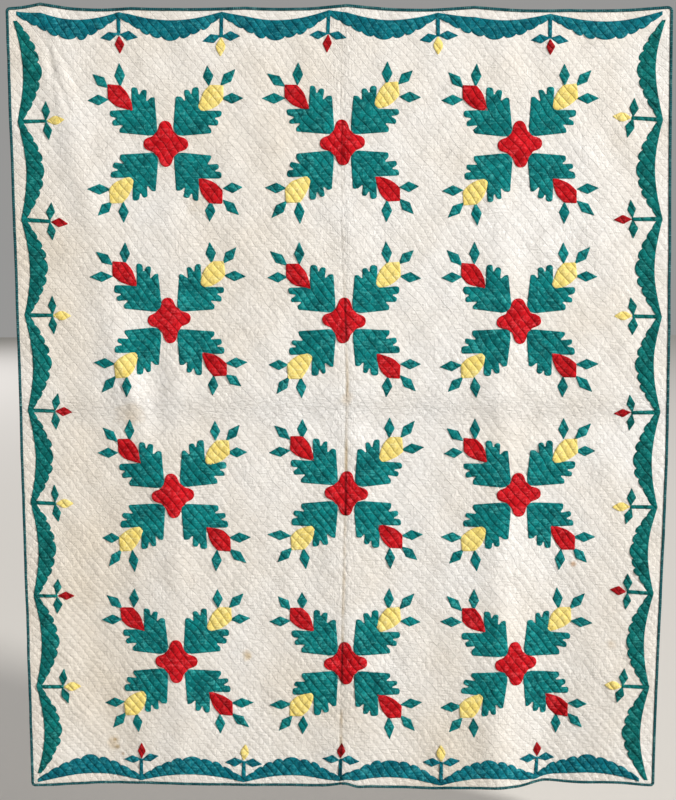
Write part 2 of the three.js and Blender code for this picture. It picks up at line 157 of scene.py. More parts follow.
# Short folds, and how far each leans across for a step down
TENTS = [
    dict(name="left tent ridge", at=-588, down=1060, wide=45, long=280, lean=0.25, out=10),
    dict(name="left tent hollow", at=-512, down=1050, wide=42, long=130, lean=0.05, out=-5),
    dict(name="drape from the corner", at=-735, down=330, wide=42, long=300, lean=0.2, out=6),
    dict(name="first crease from the corner", at=-768, down=190, wide=8, long=110, lean=0.36, out=-3.2),
    dict(name="second crease from the corner", at=-785, down=170, wide=8, long=80, lean=0.08, out=-2.6),
    dict(name="third crease from the corner", at=-738, down=160, wide=8, long=60, lean=0.5, out=-2.4),
    dict(name="crease beside the tent", at=-620, down=1010, wide=10, long=90, lean=0.3, out=-2.5),
    dict(name="cross fold", at=-50, down=1090, wide=480, long=55, lean=0, out=-3),
    dict(name="pressed cross line", at=-50, down=1094, wide=430, long=9, lean=0, out=-1.2),
]
# The top edge where it is held: rise over its mean line, and sag to the next hold
HOLDS = [
    dict(at=-905, rise=9, sag=2),
    dict(at=-810, rise=20, sag=9),
    dict(at=-565, rise=6, sag=3),
    dict(at=-252, rise=4, sag=6),
    dict(at=22, rise=9, sag=10),
    dict(at=368, rise=1, sag=5),
    dict(at=624, rise=-10, sag=4),
    dict(at=890, rise=-4, sag=0),
    dict(at=905, rise=-6, sag=0),
]
HOLD_REACH = 220
# How far each side edge is drawn to the right where the folds beside it take up cloth
LEFT_EDGE = dict(top=-1, middle=6, hem=10)
LEFT_DRAW_FROM = 450
RIGHT_EDGE = dict(top=-5, middle=6, hem=-16)
RIGHT_DRAW_FROM = 250
# Rise of the hem where the folds pull it up: place across, rise
HEM_RISES = [
    (-905, -2), (-700, 3), (-520, 5), (-300, 1), (-60, 2), (8, 9), (50, 0),
    (260, -5), (440, -1), (500, 0), (590, 17), (660, 13), (780, 15), (905, 8),
]
HEM_REACH = 380
RUMPLE, RUMPLE_SHIFT = 1.1, 5

# Slow waves for what is uneven by hand: wavelength and weight, and how many of each
HAND_SEED = 11
hand = np.random.default_rng(HAND_SEED)
WAVE_SIZES = [(420, 0.5), (300, 0.5), (210, 0.35), (150, 0.3), (90, 0.2), (60, 0.12)]
WAVES_OF_EACH = 3
WAVES = [
    (*(hand.normal(size=2) / length * 2 * np.pi), hand.uniform(0, 2 * np.pi), weight)
    for length, weight in WAVE_SIZES
    for _ in range(WAVES_OF_EACH)
]


def waver(u, down, shift):
    """A slow, uneven wave over the quilt, about one high. Another shift gives another wave."""
    total = np.zeros_like(u, dtype=float)
    for along_u, along_down, start, weight in WAVES:
        total += weight * np.sin(along_u * u + along_down * down + start + shift)
    return total


def smooth(t):
    """A soft step from 0 to 1."""
    t = np.clip(t, 0, 1)
    return t * t * (3 - 2 * t)


def bump(t):
    """A round ridge, 1 high at 0."""
    return np.exp(-t * t)


def along_drop(row, t):
    """A value that changes from the top edge through the middle to the hem."""
    upper = row["top"] + (row["middle"] - row["top"]) * smooth(2 * t)
    lower = row["middle"] + (row["hem"] - row["middle"]) * smooth(2 * t - 1)
    return np.where(t < 0.5, upper, lower)


def off_fold(u, down):
    """Distance to the right of the centre fold."""
    return u - np.interp(down, *zip(*CENTRE_FOLD))


def stands_out(u, down):
    """How far the hanging cloth stands toward the front."""
    out = RUMPLE * waver(u, down, RUMPLE_SHIFT)
    out += along_drop(FOLD_PRESS, down / HEIGHT) * bump(off_fold(u, down) / FOLD_HALF)
    for fold in FOLDS:
        out += along_drop(fold, down / HEIGHT) * bump((u - fold["at"]) / fold["wide"])
    for tent in TENTS:
        below = down - tent["down"]
        across = u - tent["at"] - tent["lean"] * below
        out += tent["out"] * bump(across / tent["wide"]) * bump(below / tent["long"])
    return out


def hold_rise(u):
    """Rise of the top edge over its mean line."""
    rise = np.interp(u, [hold["at"] for hold in HOLDS], [hold["rise"] for hold in HOLDS])
    for start, end in zip(HOLDS, HOLDS[1:]):
        t = np.clip((u - start["at"]) / (end["at"] - start["at"]), 0, 1)
        rise -= start["sag"] * np.sin(np.pi * t)
    return rise


def hem_rise(u):
    """Rise of the hem over its straight line."""
    rise = np.zeros_like(u, dtype=float)
    for (start, low), (end, high) in zip(HEM_RISES, HEM_RISES[1:]):
        here = (u >= start) & (u <= end)
        rise[here] = low + (high - low) * smooth((u[here] - start) / (end - start))
    rise[u < HEM_RISES[0][0]] = HEM_RISES[0][1]
    rise[u > HEM_RISES[-1][0]] = HEM_RISES[-1][1]
    return rise


def hang(u, down, lift):
    """Places of the flat quilt as it hangs, lifted off its back, in metres."""
    t = down / HEIGHT
    draw_left = smooth((-u - LEFT_DRAW_FROM) / (WIDTH / 2 - LEFT_DRAW_FROM))
    draw_right = smooth((u - RIGHT_DRAW_FROM) / (WIDTH / 2 - RIGHT_DRAW_FROM))
    x = u + along_drop(LEFT_EDGE, t) * draw_left + along_drop(RIGHT_EDGE, t) * draw_right
    held = hold_rise(u) * (1 - smooth(down / HOLD_REACH))
    pulled = hem_rise(u) * smooth(1 - (HEIGHT - down) / HEM_REACH)
    return np.column_stack((x, -stands_out(u, down) - lift, -down + held + pulled)) * MM


# Quilting lines: distance apart, steepness, width and depth of their valleys, and how far they
# wander. The lines that fall to the right are drawn tighter than those that rise.
LINE_PITCH = 20
LINE_STEEP = math.radians(51)
LINE_VALLEY = 2.2
FALLING_DEPTH, RISING_DEPTH = 1.0, 0.42
WANDER, WANDER_SHIFTS = 2.4, (0, 2)
# Puff of the filling between the lines, how uneven it is, and its slack from the top to the hem
PUFF, PUFF_UNEVEN, PUFF_WAVER, PUFF_SHIFT = 0.9, 0.3, 0.12, 4
SLACK_TOP, SLACK_HEM = 0.82, 1.3
# Wreaths: radii of the inner line, halfway and the outer line, and the feathers between
WREATH_IN, WREATH_HALFWAY, WREATH_OUT, WREATH_MARGIN, WREATH_VALLEY = 54, 65, 80, 6, 2.4
FEATHERS, FEATHER_END, FEATHER_DEPTH, FEATHER_PUFF = 18, 11, 0.8, 1.1
SEAM_VALLEY, SEAM_DEPTH = 2.6, 0.35
EDGE_FLAT, EDGE_RISE = 3, 13
# The net's lines within a pitch, and how far its rim lies inside the quilt's edge
FINE_NET, COARSE_NET = (0, 0.07, 0.3, 0.7, 0.93), (0, 0.5)
NET_INSET = 0.6
# Lines after which the uneven heights of the puffs come again
PUFFS = 64
puff_heights = 1 + PUFF_UNEVEN * hand.uniform(-1, 1, size=(PUFFS, PUFFS))


def wander(u, down):
    """How far a quilting line strays across and down."""
    return [WANDER * waver(u, down, shift) for shift in WANDER_SHIFTS]


def line_coordinates(u, down):
    """Distances across the falling and the rising quilting lines, in pitches."""
    stray_u, stray_down = wander(u, down)
    across = (u - stray_u) * math.sin(LINE_STEEP)
    along = (down - stray_down) * math.cos(LINE_STEEP)
    return (across - along) / LINE_PITCH, (across + along) / LINE_PITCH


def off_line(coordinate):
    """Distance to the nearest line, in millimetres."""
    return np.abs(coordinate - np.round(coordinate)) * LINE_PITCH


def wreath_places():
    """Middles of the squares' sides."""
    upright = [(c, r + 0.5) for r in range(BLOCK_ROWS) for c in range(BLOCK_COLUMNS + 1)]
    level_sides = [(c + 0.5, r) for r in range(BLOCK_ROWS + 1) for c in range(BLOCK_COLUMNS)]
    for c, r in upright + level_sides:
        yield BLOCK_SHIFT + (c - BLOCK_COLUMNS / 2) * BLOCK, HEIGHT / 2 + (r - BLOCK_ROWS / 2) * BLOCK


def relief(u, down):
    """Height of the quilted top over its stitched lines."""
    falling, rising = line_coordinates(u, down)
    height = 1 - FALLING_DEPTH * bump(off_line(falling) / LINE_VALLEY)
    height *= 1 - RISING_DEPTH * bump(off_line(rising) / LINE_VALLEY)
    height *= puff_heights[np.floor(falling).astype(int) % PUFFS, np.floor(rising).astype(int) % PUFFS]
    inside_u = np.abs(u - BLOCK_SHIFT) <= BLOCK * BLOCK_COLUMNS / 2
    inside_down = np.abs(down - HEIGHT / 2) <= BLOCK * BLOCK_ROWS / 2
    for place_u, place_down in wreath_places():
        radius = np.hypot(u - place_u, down - place_down)
        in_band = (radius < WREATH_OUT + WREATH_MARGIN) & (radius > WREATH_IN - WREATH_MARGIN)
        near = inside_u & inside_down & in_band
        r = radius[near]
        turn = np.arctan2(down[near] - place_down, u[near] - place_u) / (2 * np.pi) * FEATHERS
        loop = turn - np.round(turn)
        scallop = WREATH_OUT - FEATHER_END + FEATHER_END * np.sqrt(np.clip(1 - 4 * loop * loop, 0, 1))
        between = (0.5 - np.abs(loop)) * 2 * np.pi * r / FEATHERS
        feather = 1 - bump((r - WREATH_IN) / WREATH_VALLEY)
        feather *= 1 - bump((r - scallop) / WREATH_VALLEY)
        feather *= 1 - FEATHER_DEPTH * bump(between / WREATH_VALLEY)
        in_ring = (r > WREATH_IN) & (r < scallop)
        nearest_line = np.where(r < WREATH_HALFWAY, WREATH_IN, scallop)
        ringed = np.minimum(height[near], 1 - bump((r - nearest_line) / WREATH_VALLEY))
        height[near] = np.where(in_ring, FEATHER_PUFF * feather, ringed)
    for k in range(BLOCK_COLUMNS + 1):
        seam = BLOCK_SHIFT + (k - BLOCK_COLUMNS / 2) * BLOCK
        height *= 1 - np.where(inside_down, SEAM_DEPTH, 0) * bump((u - seam) / SEAM_VALLEY)
    for k in range(BLOCK_ROWS + 1):
        seam = HEIGHT / 2 + (k - BLOCK_ROWS / 2) * BLOCK
        height *= 1 - np.where(inside_u, SEAM_DEPTH, 0) * bump((down - seam) / SEAM_VALLEY)
    from_edge = np.minimum(WIDTH / 2 - np.abs(u), HEIGHT / 2 - np.abs(down - HEIGHT / 2))
    slack = SLACK_TOP + (SLACK_HEM - SLACK_TOP) * down / HEIGHT
    uneven_puff = 1 + PUFF_WAVER * waver(u, down, PUFF_SHIFT)
    return PUFF * slack * uneven_puff * height * smooth((from_edge - EDGE_FLAT) / EDGE_RISE)


def within_edge(u, down):
    """Flat places drawn in to the quilt's edge, with its rounded corners."""
    inset, corner = NET_INSET, CORNER_ROUND
    u = np.clip(u, -WIDTH / 2 + inset, WIDTH / 2 - inset)
    down = np.clip(down, inset, HEIGHT - inset)
    past_u = np.abs(u) - (WIDTH / 2 - corner)
    past_down = np.abs(down - HEIGHT / 2) - (HEIGHT / 2 - corner)
    radius = np.hypot(past_u, past_down)
    past_round = (past_u > 0) & (past_down > 0) & (radius > corner - inset)
    draw = np.where(past_round, (corner - inset) / radius, 1)
    u = np.where(draw < 1, np.sign(u) * (WIDTH / 2 - corner + past_u * draw), u)
    rounded_down = HEIGHT / 2 + np.sign(down - HEIGHT / 2) * (HEIGHT / 2 - corner + past_down * draw)
    return u, np.where(draw < 1, rounded_down, down)


def lay_net(shares):
    """Flat places on a net laid along the quilting lines, and the net's cells. The shares are
    the places of the net's lines in one pitch, and a coarse net starts further past the edge."""
    reach = math.ceil((WIDTH + HEIGHT) / LINE_PITCH)
    line = (np.arange(-reach, reach)[:, None] + np.array(shares)).ravel() * LINE_PITCH
    falling, rising = np.meshgrid(line, line, indexing="ij")
    u = (rising + falling) / (2 * math.sin(LINE_STEEP))
    down = (rising - falling) / (2 * math.cos(LINE_STEEP))
    spare = LINE_PITCH * (1 if shares is FINE_NET else 2)
    near = (np.abs(u) < WIDTH / 2 + spare) & (down > -spare) & (down < HEIGHT + spare)
    number = np.full(u.shape, -1)
    number[near] = np.arange(near.sum())
    corners = (number[:-1, :-1], number[1:, :-1], number[1:, 1:], number[:-1, 1:])
    cells = np.stack([corner.ravel() for corner in corners], axis=1)
    cells = cells[(cells >= 0).all(axis=1)]
    u, down = u[near], down[near]
    stray_u, stray_down = wander(u, down)
    u, down = u + stray_u, down + stray_down
    inside = (np.abs(u) < WIDTH / 2 - NET_INSET) & (down > NET_INSET) & (down < HEIGHT - NET_INSET)
    cells = cells[inside[cells].any(axis=1)]
    return *within_edge(u, down), cells


def add_node(tree, kind, **settings):
    """Adds a shader node. A setting is a property of it, or with in_ before its name or
    number an input, which gets a value or a link. A MapRange takes the range of its inputs 1
    and 2 to that of 3 and 4, and a Mix of colours 6 and 7 by the share in 0."""
    node = tree.nodes.new(f"ShaderNode{kind}")
    for key, value in settings.items():
        if not key.startswith("in_"):
            setattr(node, key, value)
            continue
        name = key[3:]
        socket = node.inputs[int(name) if name.isdigit() else name.replace("_", " ")]
        if isinstance(value, bpy.types.NodeSocket):
            tree.links.new(value, socket)
        else:
            socket.default_value = value
    return node


# Cotton, in metres: patches of its two tones
PATCH, PATCH_DARK_AT, PATCH_LIGHT_AT = 0.038, 0.34, 0.66
# Its crinkles, deeper by the hem and beside the centre and cross folds, and the paler rubbed tone on their
# crests: partly wear, partly painted highlight
CRINKLE_LONG, CRINKLE_NARROW, CRINKLE_DEEP = 0.025, 0.0062, 0.0052
UPRIGHT_SHARE = 0.55
CRINKLE_TOP, CRINKLE_HEM = 0.8, 1.0
CREASED_MORE, CREASED_FOLD, CREASED_CROSS = 1.8, 0.045, 0.06
CROSS_FOLD_DOWN = 1.092
RUB_HIGHLIGHT_FROM, RUB_HIGHLIGHT_FULL, RUB_HIGHLIGHT_SHARE = 0.0, 0.24, 0.75
# Its stitched lines and the centre fold, sunk by bump and darkened with painted shade; the fold shows more
# from FOLD_FROM down to FOLD_FULL
GROOVE_DEEP = 0.001
FOLD_WIDE, FOLD_FROM, FOLD_FULL, FOLD_AT_TOP = 0.006, 0.2, 0.95, 0.4
# Its weave. A wave texture has about three waves to a metre at scale 1
THREAD, THREAD_HIGH, THREAD_SHOWS, WAVES_TO_METRE = 0.0011, 0.0003, 0.12, 3
COTTON_ROUGH, COTTON_GLOSS = 0.95, 0.12


def cotton(
    name, dark, light, rubbed_highlight,
    groove_shade=0.36, fold_shade=0.3, rising_shade=0.55, fine=0.95, groove=0.08,
):
    """Plain-woven matt cotton, washed soft: two tones in patches, a paler tone on the crests
    of its fine crinkles that is partly wear and partly painted highlight, crinkles deeper where it
    was folded, painted shade in the stitched lines and in the pressed centre fold, and the weave
    (drawn coarser than its 0.4 mm so that it shows)."""
    material = bpy.data.materials.new(name)
    material.use_nodes = True
    tree = material.node_tree
    shader = tree.nodes["Principled BSDF"]
    place = add_node(tree, "TexCoord").outputs["Object"]
    patches = add_node(
        tree, "TexNoise", in_Vector=place, in_Scale=1 / PATCH, in_Detail=5.0, in_Roughness=0.62,
    )
    tone = add_node(tree, "ValToRGB", in_Fac=patches.outputs["Fac"])
    tone.color_ramp.elements[0].position = PATCH_DARK_AT
    tone.color_ramp.elements[0].color = linear(dark)
    tone.color_ramp.elements[1].position = PATCH_LIGHT_AT
    tone.color_ramp.elements[1].color = linear(light)

    flat = add_node(tree, "SeparateXYZ", in_Vector=add_node(tree, "UVMap", uv_map="place").outputs["UV"])
    aside = add_node(tree, "Math", operation="ABSOLUTE", in_0=flat.outputs["X"])
    # The pressed centre fold, which takes a bump and painted shade
    fold = add_node(
        tree, "MapRange", interpolation_type="SMOOTHSTEP",
        in_Value=aside.outputs[0], in_1=0.0, in_2=FOLD_WIDE, in_3=1.0, in_4=0.0,
    )
    folded = add_node(
        tree, "MapRange",
        in_Value=flat.outputs["Y"], in_1=FOLD_FROM, in_2=FOLD_FULL, in_3=FOLD_AT_TOP, in_4=1.0,
    )
    fold = add_node(tree, "Math", operation="MULTIPLY", in_0=fold.outputs[0], in_1=folded.outputs[0])
    off_cross = add_node(tree, "Math", operation="SUBTRACT", in_0=flat.outputs["Y"], in_1=CROSS_FOLD_DOWN)
    off_cross = add_node(tree, "Math", operation="ABSOLUTE", in_0=off_cross.outputs[0])
    crinkles = []
    for stretch, off, reach in (
        ((CRINKLE_LONG, CRINKLE_LONG, CRINKLE_NARROW), off_cross, CREASED_CROSS),
        ((CRINKLE_NARROW, CRINKLE_LONG, CRINKLE_LONG), aside, CREASED_FOLD),
    ):
        drawn_out = add_node(
            tree, "Mapping", in_Vector=place, in_Scale=[1 / (size * fine) for size in stretch],
        )
        noise = add_node(
            tree, "TexNoise", in_Vector=drawn_out.outputs[0], in_Scale=1.0, in_Detail=5.0,
            in_Roughness=0.64, in_Distortion=0.4,
        )
        crest = add_node(tree, "Math", operation="SUBTRACT", in_0=noise.outputs["Fac"], in_1=0.5)
        creased = add_node(
            tree, "MapRange", interpolation_type="SMOOTHSTEP",
            in_Value=off.outputs[0], in_1=0.0, in_2=reach, in_3=CREASED_MORE, in_4=1.0,
        )
        crinkles.append(
            add_node(tree, "Math", operation="MULTIPLY", in_0=crest.outputs[0], in_1=creased.outputs[0])
        )
    crinkled = add_node(
        tree, "Math", operation="MULTIPLY_ADD",
        in_0=crinkles[1].outputs[0], in_1=UPRIGHT_SHARE, in_2=crinkles[0].outputs[0],
    )
    slack = add_node(
        tree, "MapRange",
        in_Value=flat.outputs["Y"], in_1=0.0, in_2=HEIGHT * MM, in_3=CRINKLE_TOP, in_4=CRINKLE_HEM,
    )
    crinkled = add_node(tree, "Math", operation="MULTIPLY", in_0=crinkled.outputs[0], in_1=slack.outputs[0])
    # Paler rubbed tone on the crinkles' crests: partly wear, partly painted highlight
    share = add_node(
        tree, "MapRange", in_Value=crinkled.outputs[0],
        in_1=RUB_HIGHLIGHT_FROM, in_2=RUB_HIGHLIGHT_FULL, in_3=0.0, in_4=RUB_HIGHLIGHT_SHARE,
    )
    worn_highlit = add_node(
        tree, "Mix", data_type="RGBA",
        in_0=share.outputs[0], in_6=tone.outputs["Color"], in_7=linear(rubbed_highlight),
    )

    lines = add_node(tree, "SeparateXYZ", in_Vector=add_node(tree, "UVMap", uv_map="lines").outputs["UV"])
    grooves, colour = [], worn_highlit.outputs[2]
    for axis, strength in (("X", 1.0), ("Y", rising_shade)):
        off = add_node(tree, "Math", operation="PINGPONG", in_0=lines.outputs[axis], in_1=0.5)
        valley = add_node(
            tree, "MapRange", interpolation_type="SMOOTHSTEP",
            in_Value=off.outputs[0], in_1=0.0, in_2=groove, in_3=strength, in_4=0.0,
        )
        grooves.append(valley.outputs[0])
    sewn = add_node(tree, "Math", operation="MAXIMUM", in_0=grooves[0], in_1=grooves[1])
    # Painted shade: the colour is darkened in the stitched lines and in the pressed centre fold
    for mark, darkest in ((sewn, groove_shade), (fold, fold_shade)):
        shade = add_node(
            tree, "MapRange", in_Value=mark.outputs[0], in_1=0.0, in_2=1.0, in_3=1.0, in_4=darkest,
        )
        shaded = add_node(
            tree, "Mix", data_type="RGBA", blend_type="MULTIPLY",
            in_0=1.0, in_6=colour, in_7=shade.outputs[0],
        )
        colour = shaded.outputs[2]
    tree.links.new(colour, shader.inputs["Base Color"])

    threads, picks = (
        add_node(
            tree, "TexWave", in_Vector=place, in_Scale=1 / THREAD / WAVES_TO_METRE, bands_direction=way,
        )
        for way in "XZ"
    )
    weave = add_node(tree, "Math", operation="ADD", in_0=threads.outputs["Fac"], in_1=picks.outputs["Fac"])
    normal = add_node(
        tree, "Bump", in_Height=weave.outputs[0], in_Strength=THREAD_SHOWS, in_Distance=THREAD_HIGH,
    )
    pressed = add_node(tree, "Math", operation="MAXIMUM", in_0=sewn.outputs[0], in_1=fold.outputs[0])
    for height, depth, inverted in ((crinkled, CRINKLE_DEEP, False), (pressed, GROOVE_DEEP, True)):
        normal = add_node(
            tree, "Bump", invert=inverted, in_Height=height.outputs[0],
            in_Strength=1.0, in_Distance=depth, in_Normal=normal.outputs["Normal"],
        )
    tree.links.new(normal.outputs["Normal"], shader.inputs["Normal"])
    shader.inputs["Roughness"].default_value = COTTON_ROUGH
    shader.inputs["Specular IOR Level"].default_value = COTTON_GLOSS
    return material


# Yellowing, in metres: its patches; and a yellower, darker tint that grows low down and to the left
AGED, AGED_PATCH, AGED_FROM, AGED_FULL, AGED_SHARE = "#e6d6ba", 0.4545, 0.4, 0.9, 0.6
TINT_LOW = dict(in_1=-1.3, in_2=-2.18, in_3=0.0, in_4=0.1)
TINT_LEFT = dict(in_1=-0.2, in_2=-0.9, in_3=0.0, in_4=0.16)
# The soiled line on the centre fold: broken up in stretches, and faint above SOIL_DOWN
SOILED, SOIL_WIDE, SOIL_SHARE = "#c9b080", 0.008, 0.75
SOIL_STRETCH, SOIL_FROM, SOIL_TO = 0.1429, 0.4, 0.62
SOIL_DOWN, SOIL_FULL, SOIL_AT_TOP = 0.7, 1.05, 0.1
# Spots: ragged, full within SPOT_CORE of their width and gone beyond SPOT_RIM of it
SPOT_RAGGED, SPOT_CORE, SPOT_RIM = 0.0294, 0.6, 1.3
SPOTS = [
    dict(at=-266, down=1795, wide=24, share=0.55, colour="#d9b564"),
    dict(at=-655, down=2052, wide=34, share=0.4, colour="#d2b67c"),
    dict(at=-652, down=2046, wide=10, share=0.6, colour="#b0954a"),
    dict(at=-644, down=2066, wide=11, share=0.6, colour="#ad9046"),
    dict(at=-630, down=2088, wide=9, share=0.55, colour="#b08a50"),
    dict(at=651, down=1531, wide=14, share=0.6, colour="#d79a4e"),
    dict(at=759, down=1758, wide=26, share=0.3, colour="#cba86a"),
    dict(at=-390, down=520, wide=60, share=0.2, colour="#d9c193"),
    dict(at=-590, down=1105, wide=62, share=0.3, colour="#d8bd88"),
    dict(at=18, down=1060, wide=30, share=0.3, colour="#cdae74"),
]
# Bleached cotton, washed soft: off-white and matt, with little painted shade in its stitched lines
ground_cotton = cotton(
    "white_cotton", "#e8e6e3", "#edecea", "#f2f1ef",
    groove_shade=0.86, fold_shade=0.88, rising_shade=0.5, fine=1.0, groove=0.06,
)


def age(material, spots):
    """Yellows, soils and spots a white cotton by its place on the hanging quilt."""
    tree = material.node_tree
    shader = tree.nodes["Principled BSDF"]
    place = add_node(tree, "TexCoord").outputs["Object"]
    apart = add_node(tree, "SeparateXYZ", in_Vector=place)
    colour = shader.inputs["Base Color"].links[0].from_socket
    broad = add_node(
        tree, "TexNoise", in_Vector=place, in_Scale=1 / AGED_PATCH, in_Detail=3.0, in_Roughness=0.55,
    )
    # A yellower, darker tint toward the bottom and toward the left
    low = add_node(tree, "MapRange", in_Value=apart.outputs["Z"], **TINT_LOW)
    left = add_node(tree, "MapRange", in_Value=apart.outputs["X"], **TINT_LEFT)
    yellow = add_node(tree, "Math", operation="ADD", in_0=broad.outputs["Fac"], in_1=low.outputs[0])
    yellow = add_node(tree, "Math", operation="ADD", in_0=yellow.outputs[0], in_1=left.outputs[0])
    yellow = add_node(
        tree, "MapRange", in_Value=yellow.outputs[0],
        in_1=AGED_FROM, in_2=AGED_FULL, in_3=0.0, in_4=AGED_SHARE,
    )
    layers = [(yellow.outputs[0], AGED)]

    flat = add_node(tree, "SeparateXYZ", in_Vector=add_node(tree, "UVMap", uv_map="place").outputs["UV"])
    aside = add_node(tree, "Math", operation="ABSOLUTE", in_0=flat.outputs["X"])
    on_fold = add_node(
        tree, "MapRange", interpolation_type="SMOOTHSTEP",
        in_Value=aside.outputs[0], in_1=0.0, in_2=SOIL_WIDE, in_3=SOIL_SHARE, in_4=0.0,
    )
    here = add_node(tree, "TexNoise", in_Vector=place, in_Scale=1 / SOIL_STRETCH, in_Detail=4.0)
    here = add_node(tree, "MapRange", in_Value=here.outputs["Fac"], in_1=SOIL_FROM, in_2=SOIL_TO)
    lower = add_node(
        tree, "MapRange", in_Value=flat.outputs["Y"],
        in_1=SOIL_DOWN, in_2=SOIL_FULL, in_3=SOIL_AT_TOP, in_4=1.0,
    )
    soil = add_node(tree, "Math", operation="MULTIPLY", in_0=on_fold.outputs[0], in_1=lower.outputs[0])
    soil = add_node(tree, "Math", operation="MULTIPLY", in_0=soil.outputs[0], in_1=here.outputs[0])
    layers.append((soil.outputs[0], SOILED))

    fine = add_node(tree, "TexNoise", in_Vector=place, in_Scale=1 / SPOT_RAGGED, in_Detail=3.0)
    front_on = add_node(tree, "CombineXYZ", in_X=apart.outputs["X"], in_Z=apart.outputs["Z"])
    for spot in spots:
        middle, wide = (spot["at"] * MM, 0, -spot["down"] * MM), spot["wide"] * MM
        away = add_node(tree, "VectorMath", operation="DISTANCE", in_0=front_on.outputs[0], in_1=middle)
        ragged = add_node(
            tree, "Math", operation="MULTIPLY_ADD",
            in_0=fine.outputs["Fac"], in_1=wide, in_2=away.outputs["Value"],
        )
        share = add_node(
            tree, "MapRange", interpolation_type="SMOOTHSTEP", in_Value=ragged.outputs[0],
            in_1=wide * SPOT_CORE, in_2=wide * SPOT_RIM, in_3=spot["share"], in_4=0.0,
        )
        layers.append((share.outputs[0], spot["colour"]))
    for share, hex_colour in layers:
        tinted = add_node(
            tree, "Mix", data_type="RGBA", blend_type="MULTIPLY",
            in_0=share, in_6=colour, in_7=linear(hex_colour),
        )
        colour = tinted.outputs[2]
    tree.links.new(colour, shader.inputs["Base Color"])


age(ground_cotton, SPOTS)


def cloth_piece(name, flat_u, flat_down, lift, faces, material, lines=None):
    """A piece of cloth from its flat places, hung with the quilt. It has maps of its flat cut,
    of the quilting lines, and of its place beside the centre fold and down the quilt."""
    mesh = bpy.data.meshes.new(name)
    mesh.from_pydata(hang(flat_u, flat_down, lift).tolist(), [], faces.tolist())
    mesh.polygons.foreach_set("use_smooth", np.ones(len(faces), dtype=bool))
    corners = np.empty(len(mesh.loops), dtype=np.int32)
    mesh.loops.foreach_get("vertex_index", corners)
    flat = np.column_stack((flat_u, -flat_down))
    cut = (flat - flat.min(axis=0)) / (flat.max(axis=0) - flat.min(axis=0))
    if lines is None:
        lines = np.column_stack(line_coordinates(flat_u, flat_down))
    on_cloth = np.column_stack((off_fold(flat_u, flat_down), flat_down)) * MM
    for map_name, uv in (("OFBake", cut), ("lines", lines), ("place", on_cloth)):
        mesh.uv_layers.new(name=map_name).data.foreach_set("uv", uv[corners].astype(np.float32).ravel())
    mesh.materials.append(material)
    mesh.update()
    piece = bpy.data.objects.new(name, mesh)
    bpy.context.scene.collection.objects.link(piece)
    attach(piece, "root")
    return piece


net_u, net_down, net_cells = lay_net(FINE_NET)
net_lift = BODY + relief(net_u, net_down)

# Shading runs on over the seams, so the top's normals are taken from all of it at once
whole = bpy.data.meshes.new("whole_top")
whole.from_pydata(hang(net_u, net_down, net_lift).tolist(), [], net_cells.tolist())
net_normals = np.empty(len(net_u) * 3, dtype=np.float32)
whole.vertex_normals.foreach_get("vector", net_normals)
net_normals = net_normals.reshape(-1, 3)
bpy.data.meshes.remove(whole)

middle_u = net_u[net_cells].mean(axis=1)
middle_down = net_down[net_cells].mean(axis=1)
columns = np.floor((middle_u - BLOCK_SHIFT) / BLOCK + BLOCK_COLUMNS / 2)
rows = np.floor((middle_down - HEIGHT / 2) / BLOCK + BLOCK_ROWS / 2)
in_columns = (columns >= 0) & (columns < BLOCK_COLUMNS)
squares_wide, squares_high = BLOCK * BLOCK_COLUMNS, BLOCK * BLOCK_ROWS
left_wide = (WIDTH - squares_wide) / 2 + BLOCK_SHIFT
right_wide = (WIDTH - squares_wide) / 2 - BLOCK_SHIFT
end_high = (HEIGHT - squares_high) / 2
panels = {
    "border_left": (columns < 0, (left_wide, HEIGHT)),
    "border_right": (columns >= BLOCK_COLUMNS, (right_wide, HEIGHT)),
    "border_top": (in_columns & (rows < 0), (squares_wide, end_high)),
    "border_bottom": (in_columns & (rows >= BLOCK_ROWS), (squares_wide, end_high)),
}
# How far each motif was sewn to the right of and below the middle of its square, by rows
MOTIF_SHIFTS = [
    [(0, -2), (-1, -2), (-2, 6)],
    [(1, -6), (1, -2), (-3, 0)],
    [(4, 2), (5, -4), (1, 0)],
    [(5, -5), (2, -2), (1, -1)],
]
square_middles = {}
for r in range(BLOCK_ROWS):
    for c in range(BLOCK_COLUMNS):
        place = f"{r + 1}_{c + 1}"
        panels[f"square_{place}"] = ((rows == r) & (columns == c), (BLOCK, BLOCK))
        square_u = BLOCK_SHIFT + (c + 0.5 - BLOCK_COLUMNS / 2) * BLOCK
        square_down = HEIGHT / 2 + (r + 0.5 - BLOCK_ROWS / 2) * BLOCK
        to_right, below = MOTIF_SHIFTS[r][c]
        square_middles[place] = (square_u + to_right, square_down + below)
top_pieces, sewn_on = {}, {}
for name, (mine, _) in panels.items():
    used, cells = np.unique(net_cells[mine], return_inverse=True)
    piece = cloth_piece(
        name, net_u[used], net_down[used], net_lift[used], cells.reshape(-1, 4), ground_cotton,
    )
    piece.data.normals_split_custom_set_from_vertices(net_normals[used].tolist())
    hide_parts("quilt")
    top_pieces[name] = piece
    sewn_on[name] = []

# Leaves and leaflets: teal cotton, edges turned under and felled down. Four leaves to a
# square end under its flower centre, and three narrow diamonds stand round each bud.
CLOTH, CLOTH_PUFF = 0.55, 1.8
# The turned-under edge: its height off the ground, its width, and in shares of that the place of
# the line of points inside it and the distances that points keep from the edge
EDGE_OFF, TURNED_EDGE = 0.3, 1.7
RIM_IN, RIM_CLEAR, INNER_CLEAR = 0.7, 0.5, 1.2
INSIDE_ONLY, MERGE_WITHIN = 1, 1e-4
# Outlines: distance between points, the shortest stretch, and the most of a side that a bend takes
OUTLINE_STEP, OUTLINE_LEAST, BEND_SHARE = 2.8, 0.05, 0.48
DIAMOND_WIDEST = 0.48
